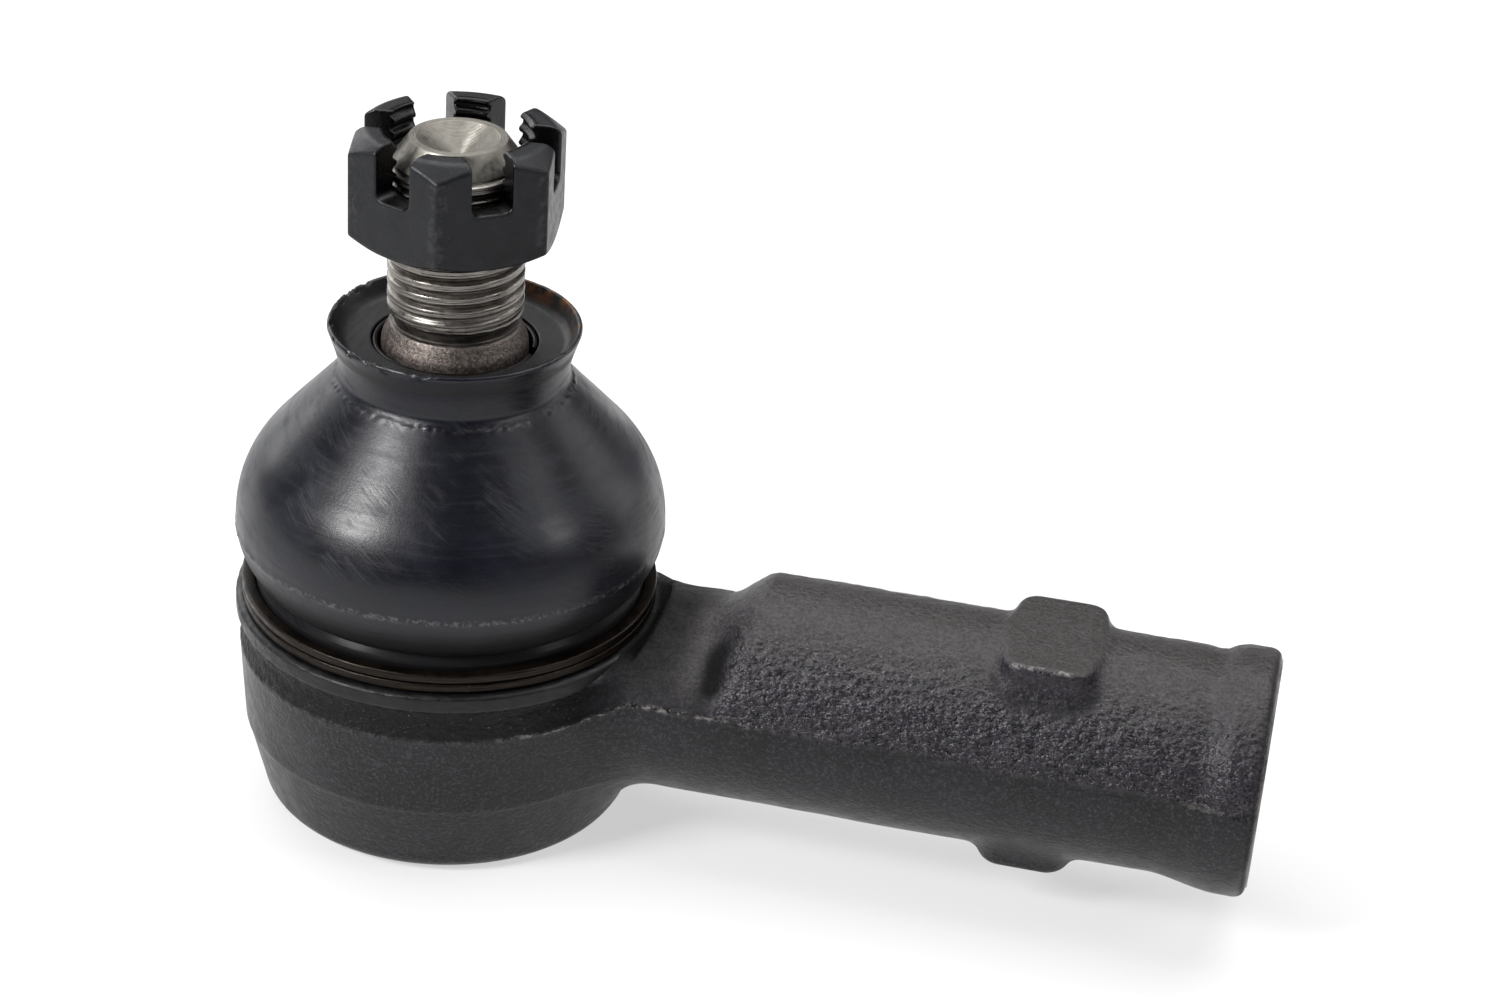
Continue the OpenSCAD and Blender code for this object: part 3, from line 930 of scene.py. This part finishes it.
def make_head_core(material):
    """Turned parts of the head: collar, boot groove, spigot, mouth, chamber and rolled lip."""
    outline = [
        (CORE_R - 0.4, COLLAR_Z - 0.6, 0.1),
        (COLLAR_R - 0.9, COLLAR_Z, 0.1),
        (COLLAR_R - 0.1, COLLAR_Z, 0.12),
        (COLLAR_R, COLLAR_Z + 0.25, 0.15),
        (COLLAR_R, COLLAR_TOP - 0.2, 0.2),
        (COLLAR_R - 0.35, COLLAR_TOP, 0.2),
        (GROOVE_R, COLLAR_TOP, 0.3),
        (GROOVE_R, SPIGOT_Z, 0.15),
        (SPIGOT_R, SPIGOT_Z, 0.15),
        (SPIGOT_R, SPIGOT_TOP - 0.4, 0.2),
        (SPIGOT_R - 0.4, SPIGOT_TOP, 0.2),
        (MOUTH_FLARE_R, SPIGOT_TOP, 0.3),
        (MOUTH_R, MOUTH_Z, 0.3),
        (CHAMBER_R, CHAMBER_CONE_Z, 0.3),
        (CHAMBER_R, CAP_HI[2] + 0.02, 0.1),
        (CAP_HI[0] + CAP_GAP, CAP_HI[2] + 0.02, 0.1),
        (CAP_HI[0] + CAP_GAP, CAP_LO[2] - CAP_GAP, 0.15),
        (LIP_R, CAP_LO[2] - CAP_GAP - 0.05, 0.3),
        (LIP_R + 0.5, HEAD_BOTTOM, 0.5),
        (CORE_R - 0.1, HEAD_BOTTOM, 0.5),
        (CORE_R + 0.15, HEAD_BOTTOM + 0.9, 0.2),
    ]
    piece = lathe("housing_turned_head", outline, material, sides=360, step=0.35, sharp=38)
    points = points_of(piece)
    q = np.hypot(points[:, 0], points[:, 1])
    edge = bell(points[:, 2] - COLLAR_TOP, 0.3) * (q > COLLAR_R - 0.8)
    grit = noise_at(points, 0.9, 3, seed=8.2)
    sink = (0.012 + 0.09 * edge) * (grit - 0.3)
    points[:, :2] += points[:, :2] / q[:, None] * np.minimum(sink, 0.03)[:, None]
    move_points(piece, points)
    place(piece, "housing_body", "housing", "housing_steel")


def make_rod_socket(material):
    """The shank's machined end face and its female thread, down to the drill point."""
    sides = 144
    mouth = SOCKET_R + 1.0
    chamfer_x = END_X - 1.5

    def radius_at(x, phase):
        ridge = 1 - groove_depth(phase, SOCKET_PITCH, 0.2, 0.42)
        minor = SOCKET_R - (SOCKET_R - SOCKET_MINOR) * ridge
        fade_in = np.clip((chamfer_x - x) / 0.9, 0, 1)
        fade_out = np.clip((x - (SOCKET_X + 2)) / 1.6, 0, 1)
        return SOCKET_R - (SOCKET_R - minor) * fade_in * fade_out

    rows = [
        (0, SOCKET_X - 4.4),
        (SLEEVE_R, SOCKET_X - 0.3),
        (SLEEVE_R, END_X - 0.5),
        (BARREL_R - 0.35, END_X - 0.45),
        (BARREL_R - 0.15, END_X - 0.2),
        (BARREL_R - 0.3, END_X),
        (mouth + 0.1, END_X),
        (mouth - 0.05, END_X - 0.08),
        (SOCKET_R, chamfer_x),
    ]
    rows += thread_rows(chamfer_x, SOCKET_X + 2, SOCKET_PITCH, radius_at, sides)
    rows += [(SOCKET_R, SOCKET_X), (0, SOCKET_X - 3.5)]
    piece = turned("rod_socket_thread", rows, material, sides, "x", 40)
    place(piece, "housing_body", "housing", "housing_steel")


# ---- stud and nut
def make_stud(material):
    """Ball, neck, taper, undercut, rolled thread and the bevelled end with its centre hole."""
    sides = 160

    def radius_at(z, phase):
        full = np.clip((z - THREAD_Z - 0.5) / 1.6, 0, 1)
        seam = 0.05 * bell(np.minimum(phase, 1 - phase) * THREAD_PITCH, 0.07)
        groove = (THREAD_R - THREAD_ROOT) * groove_depth(phase, THREAD_PITCH, 0.25, 0.3)
        thread = THREAD_R - full * (groove + seam)
        lead_in = UNDERCUT_R + (z - THREAD_Z) * 1.4
        tip = TIP_R + (STUD_TOP - 0.12 - z) * (THREAD_R - TIP_R) / TIP_H
        return np.minimum(np.minimum(thread, lead_in), tip)

    low = math.degrees(math.asin(BALL_FLAT / BALL_R))
    neck_angle = math.degrees(math.acos((NECK_R + 0.35) / BALL_R))
    flat_r = math.sqrt(BALL_R**2 - BALL_FLAT**2)
    outline = [(0, BALL_FLAT, 0), (flat_r - 0.3, BALL_FLAT, 0)]
    outline += arc(0, 0, BALL_R, low, neck_angle, 48)
    outline += [
        (NECK_R, 9.4, 0.8),
        (NECK_R, 15.2, 1.6),
        (TAPER_LOW[0] - 0.2, TAPER_LOW[1] - 0.2, 0.6),
        (TAPER_LOW[0], TAPER_LOW[1] + 0.6, 0.3),
        (TAPER_TOP[0], TAPER_TOP[1], 0.35),
        (TAPER_TOP[0] - 0.7, TAPER_TOP[1] + 1.5, 0.3),
        (UNDERCUT_R, TAPER_TOP[1] + 1.6, 0.25),
        (UNDERCUT_R, THREAD_Z, 0),
    ]
    rows = densified(filleted(outline, closed=False), 0.6, closed=False)
    rows += thread_rows(THREAD_Z, STUD_TOP - 0.12, THREAD_PITCH, radius_at, sides, 20)
    rim = [
        (TIP_R, STUD_TOP - 0.12, 0.1),
        (TIP_R - 0.1, STUD_TOP, 0.06),
        (CENTRE_R + 0.06, STUD_TOP, 0.06),
        (CENTRE_R - 0.06, STUD_TOP - 0.08, 0.06),
        (0.12, STUD_TOP - CENTRE_D + 0.06, 0.08),
        (0, STUD_TOP - CENTRE_D, 0),
    ]
    rows += densified(filleted(rim, closed=False), 0.25, closed=False)
    piece = turned("ball_stud_turned", rows, material, sides, sharp=50)
    piece = drilled(piece, COTTER_R, COTTER_Z)
    points = points_of(piece)
    q, z = np.hypot(points[:, 0], points[:, 1]), points[:, 2]
    threaded = (z > THREAD_Z - 1.2) & (z < STUD_TOP - TIP_H)
    root = np.where(threaded, smooth_step(THREAD_R - 0.15, THREAD_R - 0.4, q), 0)
    taper = smooth_step(TAPER_LOW[1] - 2, TAPER_LOW[1], z) * smooth_step(32, 31.7, z)
    tip_z = STUD_TOP - TIP_H
    tip = smooth_step(tip_z - 0.1, tip_z + 0.2, z - np.where(q < CENTRE_R, -1, 0))
    wear = noise_at(points, 0.9, 3, seed=2.4, stretch=(0.2, 0.2, 1.6))
    sink = np.where(threaded, 0.03 * np.minimum(wear, 0) * (1 - root), 0.01 * wear * taper)
    scale = (q + sink) / np.maximum(q, 0.01)
    points[:, :2] *= scale[:, None]
    move_points(piece, points)
    set_attributes(piece, root=root, taper=taper, tip=tip)
    place(piece, "stud_body", "ball_stud", "stud_steel")


def drilled(piece, radius, height):
    """The piece with a plain cross hole along X."""
    outline = [(0, -12, 0), (radius, -12, 0), (radius, 12, 0), (0, 12, 0)]
    material = piece.data.materials[0]
    drill = lathe("cross_drill", outline, material, closed=False, sides=48, along="x")
    drill.location.z = height * MM
    cut = piece.modifiers.new("cross_hole", "BOOLEAN")
    cut.operation = "DIFFERENCE"
    cut.solver = "EXACT"
    cut.object = drill
    bpy.context.view_layer.update()
    graph = bpy.context.evaluated_depsgraph_get()
    mesh = bpy.data.meshes.new_from_object(piece.evaluated_get(graph))
    mesh.name = piece.name
    piece.modifiers.clear()
    piece.data = mesh
    bpy.data.objects.remove(drill)
    return piece


def nut_flat_distance(x, y):
    """Distance past the hexagon's flats, and the distance from the nearest slot's middle."""
    flats, slot = None, None
    for k in range(3):
        a = NUT_ANGLE + math.radians(60 * k)
        along = x * math.cos(a) + y * math.sin(a)
        across = -x * math.sin(a) + y * math.cos(a)
        flat = np.abs(along) - NUT_FLATS / 2
        flats = flat if flats is None else smooth_max(flats, flat, 0.14)
        slot = np.abs(across) if slot is None else np.minimum(slot, np.abs(across))
    return flats, slot


def nut_field(x, y, z):
    """Signed distance to the castle nut, in millimetres."""
    q = np.hypot(x, y)
    flats, slot = nut_flat_distance(x, y)
    top = (q - NUT_TOP_BEVEL_R - (NUT_HI[2] - z) * 1.25) * 0.62
    low = (q - NUT_LOW_BEVEL_R - (z - NUT_LO[2]) * 1.6) * 0.53
    body = smooth_max(smooth_max(flats, top, 0.2), low, 0.2)
    ends = np.abs(z - (NUT_LO[2] + NUT_HI[2]) / 2) - (NUT_HI[2] - NUT_LO[2]) / 2
    body = smooth_max(body, ends, 0.25)
    gap = smooth_max(slot - SLOT_W / 2, SLOT_Z - z, 0.9)
    body = smooth_max(body, -gap, 0.22)
    phase = ((z - NUT_LO[2]) / THREAD_PITCH - np.arctan2(y, x) / (2 * math.pi)) % 1
    thread = NUT_BORE + 0.5 * (1 - groove_depth(phase, THREAD_PITCH, 0.12, 0.4))
    mouth = np.maximum(NUT_BORE + 0.75 - np.minimum(z - NUT_LO[2], NUT_HI[2] + 0.4 - z), thread)
    return smooth_max(body, mouth - q, 0.1)


def make_nut(material):
    """The slotted nut with its thread, and masks for cut faces and worn edges."""
    step = 0.15
    points, quads = surface_nets(nut_field, NUT_LO - 0.4, NUT_HI + 0.4, step)
    piece = new_piece("castle_nut_slotted", points, quads.tolist(), material)
    points = points_of(piece)
    x, y, z = points.T
    q = np.hypot(x, y)
    flats, slot = nut_flat_distance(x, y)
    near_slot = smooth_step(0.2, 0.05, np.abs(slot - SLOT_W / 2))
    near_slot = near_slot * (z > SLOT_Z - 0.1) * (flats < -0.12)
    in_bore = smooth_step(NUT_BORE + 0.9, NUT_BORE + 0.6, q)
    slot_floor = (np.abs(z - SLOT_Z) < 0.15) & (slot < SLOT_W / 2) & (flats < -0.12)
    corner = smooth_step(9.25, 9.5, q)
    rim = smooth_step(0.25, 0.0, NUT_HI[2] - z) * smooth_step(7.6, 8.0, q)
    cut = np.maximum(np.maximum(near_slot, in_bore), slot_floor)
    set_attributes(piece, cut=cut, edge=np.maximum(corner, rim))
    place(piece, "nut_body", "castle_nut", "nut_black")


# ---- boot and its rings
def boot_outline():
    """Outer skin from the bead up to the rim, then the inner skin back down."""
    bead_z0, bead_z1 = COLLAR_TOP + 0.3, SPIGOT_Z - 0.15
    throat = SPIGOT_R + 0.2
    cx = BOOT_R - BELLY_LOW_R
    dx = BOOT_R - DOME_ARC_R
    outline = [(GROOVE_R + 0.1, bead_z0, 0.3), (BEAD_R, bead_z0, 0.3), (BEAD_R, bead_z1, 0.2)]
    outline += arc(cx, BELLY_Z, BELLY_LOW_R, -48, -4, 12)
    outline += arc(dx, BELLY_Z, DOME_ARC_R, 3, DOME_ARC, 14)
    outline += [
        (WAIST[0] + 0.55, WAIST[1] - 0.55, 0.3),
        (WAIST[0] + 0.02, WAIST[1] + 0.1, 0.5),
        (WAIST[0] + 0.3, WAIST[1] + 2.0, 1.2),
        (RIM_R, RIM_Z - 0.3, 0.1),
        (RIM_R - 0.12, RIM_Z - 0.02, 0.12),
        (RIM_R - 0.4, RIM_Z - 0.05, 0.12),
        (RIM_R - 1.0, BOOT_FLOOR + 0.35, 0.4),
        (9.6, BOOT_FLOOR, 0.4),
        (RING_OUTER + 0.1, BOOT_FLOOR, 0.15),
        (RING_OUTER + 0.1, NECK_RING_LO[2] - 0.1, 0.1),
        (LIP_BORE, NECK_RING_LO[2] - 0.1, 0.2),
        (LIP_BORE, 26.4, 0.3),
    ]
    outline += arc(dx, BELLY_Z, DOME_ARC_R - BOOT_WALL, DOME_ARC, 3, 12)
    outline += arc(cx, BELLY_Z, BELLY_LOW_R - BOOT_WALL, -8, -40, 8)
    outline += [(throat, SPIGOT_TOP, 0.2), (throat, bead_z1, 0.1), (GROOVE_R + 0.1, bead_z1, 0.1)]
    return outline


def make_boot(material):
    """The boot in one skin: seam, torn rim and uneven rubber."""
    piece = lathe("dust_boot_rubber", boot_outline(), material, sides=300, step=0.3, sharp=60)
    points, normals = points_of(piece), normals_of(piece)
    x, y, z = points.T
    q = np.hypot(x, y)
    outside = (normals[:, 0] * x + normals[:, 1] * y) / q > 0.05
    seam_z = SEAM_Z + 0.06 * np.sin(3 * np.arctan2(y, x))
    seam = bell(z - seam_z, 0.2) * outside * (q > 17)
    join_z = WAIST[1] - 0.55 + 0.12 * noise_at(points, 2.2, 3, seed=4.4)
    join = bell(z - join_z, 0.16) * outside * (q < 12)
    rim = smooth_step(RIM_Z - 0.5, RIM_Z - 0.1, z)
    lumps = noise_at(points, 0.7, 3, seed=6.1)
    swell = noise_at(points, 9.0, 2, seed=1.3)
    height = 0.05 * swell * (z > 9)
    height += seam * (0.06 + 0.09 * lumps) + join * (0.03 + 0.13 * lumps)
    left = smooth_step(-0.2, 0.7, -(0.92 * x + 0.39 * y) / q)
    torn = rim * (0.15 + 0.85 * left) * np.minimum(noise_at(points, 1.2, 3, seed=9.9) + 0.1, 0)
    moved = points + normals * height[:, None]
    moved[:, 2] += 0.8 * torn
    move_points(piece, moved)
    inside = smooth_step(BOOT_FLOOR - 0.6, BOOT_FLOOR - 0.2, z) * smooth_step(11.0, 10.6, q)
    side = np.degrees(np.arctan2(y, x))
    rust = smooth_step(BOOT_FLOOR, RIM_Z, z) * ~outside
    rust = rust * smooth_step(5, 25, side) * smooth_step(85, 60, side)
    front_right = 0.3 + 0.7 * smooth_step(0.2, 0.8, (0.5 * x - 0.87 * y) / q)
    seam = np.maximum(seam * front_right, 0.12 * join)
    # low marks the boot's lower part for its painted shade.
    set_attributes(piece, seam=seam, low=smooth_step(12.3, 10.0, z), inside=inside, rust=rust)
    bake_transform(piece)
    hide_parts("dust_boot")


def make_clamp_wire(material):
    """Two turns of flat wire wound side by side, with free ends at the back."""
    outer = CLAMP_HI[0]
    inner = outer - 1.1
    middle = (inner + outer) / 2
    tall = 0.8
    low = CLAMP_LO[2] + tall / 2
    high = CLAMP_HI[2] - tall / 2
    corners = [(inner, -tall / 2, 0.18), (outer, -tall / 2, 0.22)]
    corners += [(outer, tall / 2, 0.22), (inner, tall / 2, 0.18)]
    section = np.array(filleted(corners))
    steps, turns, first_end = 600, 1.985, math.radians(70)
    rings = []
    for i in range(steps + 1):
        turn = i / steps * turns
        angle = first_end + turn * 2 * math.pi
        height = low + (high - low) * smooth_step(0.9, 1.06, turn)
        from_end = min(i, steps - i) / steps
        size = 0.8 + 0.2 * smooth_step(0, 0.004, from_end)
        r = middle + (section[:, 0] - middle) * size
        z = height + section[:, 1] * size
        rings.append(np.stack((r * math.cos(angle), r * math.sin(angle), z), axis=1))
    piece = swept("boot_clamp_wire", rings, material)
    points = points_of(piece)
    q = np.hypot(points[:, 0], points[:, 1])
    dents = noise_at(points, 1.4, 3, seed=7.7)
    points[:, :2] *= ((q + 0.03 * np.minimum(dents, 0)) / q)[:, None]
    move_points(piece, points)
    place(piece, "housing_body", "boot_clamp_ring", "clamp_steel")


def make_neck_ring(material):
    """Split ring round the boot's mouth, with its gap on the shank's side."""
    inner, outer, gap = 6.75, RING_OUTER, 1.4
    z0, z1 = NECK_RING_LO[2], NECK_RING_HI[2]
    corners = [(inner, z0, 0.2), (outer, z0, 0.2), (outer, z1, 0.25), (inner, z1, 0.25)]
    section = np.array(filleted(corners))
    half_gap = math.asin(gap / 2 / outer)
    steps = 220
    rings = []
    for i in range(steps + 1):
        angle = half_gap + (2 * math.pi - 2 * half_gap) * i / steps
        lift = 0.05 * math.sin(3 * angle)
        r, z = section[:, 0], section[:, 1] + min(lift, 0)
        rings.append(np.stack((r * math.cos(angle), r * math.sin(angle), z), axis=1))
    piece = swept("boot_neck_ring_split", rings, material)
    place(piece, "neck_body", "boot_neck_ring", "ring_steel")


# ---- inside the head
def make_seats(material):
    """Plastic shells above and below the ball."""
    gap_r = BALL_R + 0.05
    r_out = UPPER_HI[0]
    z0, z1 = UPPER_LO[2], UPPER_HI[2]
    bore = MOUTH_R + 0.2
    start = math.degrees(math.asin(z0 / gap_r))
    end = math.degrees(math.acos(bore / gap_r))
    outline = [(r_out, z0, 0.2), (r_out, CHAMBER_CONE_Z - 0.08, 0.3)]
    outline += [(bore + 0.2, z1, 0.15), (bore, z1, 0.1)]
    outline += arc(0, 0, gap_r, end, start, 14)
    upper = lathe("upper_seat_moulded", outline, material, sides=144, sharp=45)
    place(upper, "housing_body", "upper_seat", "seat_plastic")
    z0, z1 = LOWER_LO[2], LOWER_HI[2]
    hole = 2.5
    start = math.degrees(math.asin(z1 / gap_r))
    outline = [(hole, z0, 0.2), (8, z0, 0.4), (r_out, -7, 0.4), (r_out, z1, 0.2)]
    outline += arc(0, 0, gap_r, start, -math.degrees(math.acos(hole / gap_r)), 24)
    lower = lathe("lower_seat_moulded", outline, material, sides=144, sharp=45)
    place(lower, "housing_body", "lower_seat", "seat_plastic")


def make_spring(material):
    """Conical washer with rounded edges."""
    inner, outer, thick = 4.2, SPRING_HI[0], 0.8
    outline = [
        (inner, SPRING_HI[2] - thick, 0.15),
        (outer, SPRING_LO[2], 0.15),
        (outer, SPRING_LO[2] + thick, 0.15),
        (inner, SPRING_HI[2], 0.15),
    ]
    piece = lathe("preload_spring_washer", outline, material, sides=144, sharp=45)
    place(piece, "housing_body", "preload_spring", "spring_steel")


def make_cap(material):
    """Pressed end cap with a shallow dish and a coined ring in its outer face."""
    low, high, r = CAP_LO[2], CAP_HI[2], CAP_HI[0]
    outline = [
        (0, low + 0.55, 0),
        (4.6, low + 0.5, 0.5),
        (6.2, low, 0.6),
        (9.6, low, 0.2),
        (9.9, low + 0.25, 0.2),
        (10.5, low + 0.25, 0.2),
        (10.8, low, 0.2),
        (r - 0.25, low, 0.2),
        (r, low + 0.25, 0.2),
        (r, high, 0.2),
        (0, high, 0),
    ]
    piece = lathe("end_cap_pressed", outline, material, closed=False, sides=192, step=0.8, sharp=45)
    place(piece, "housing_body", "end_cap", "cap_steel")


make_camera()
make_studio()
make_floor()
make_forging(forged_finish())
make_head_core(painted_finish())
make_rod_socket(bore_finish())
make_stud(thread_finish())
make_nut(nut_finish())
make_boot(rubber_finish())
make_clamp_wire(wire_finish("clamp_bronze_wire", "#110f0d", "#2a221b", "#22160e"))
make_neck_ring(wire_finish("neck_ring_steel", "#0e0d0d", "#1e1c1b", "#22170f"))
make_seats(plastic_finish())
make_spring(wire_finish("spring_steel", "#5d6166", "#83878b", "#5c4a3a"))
make_cap(pressed_finish())
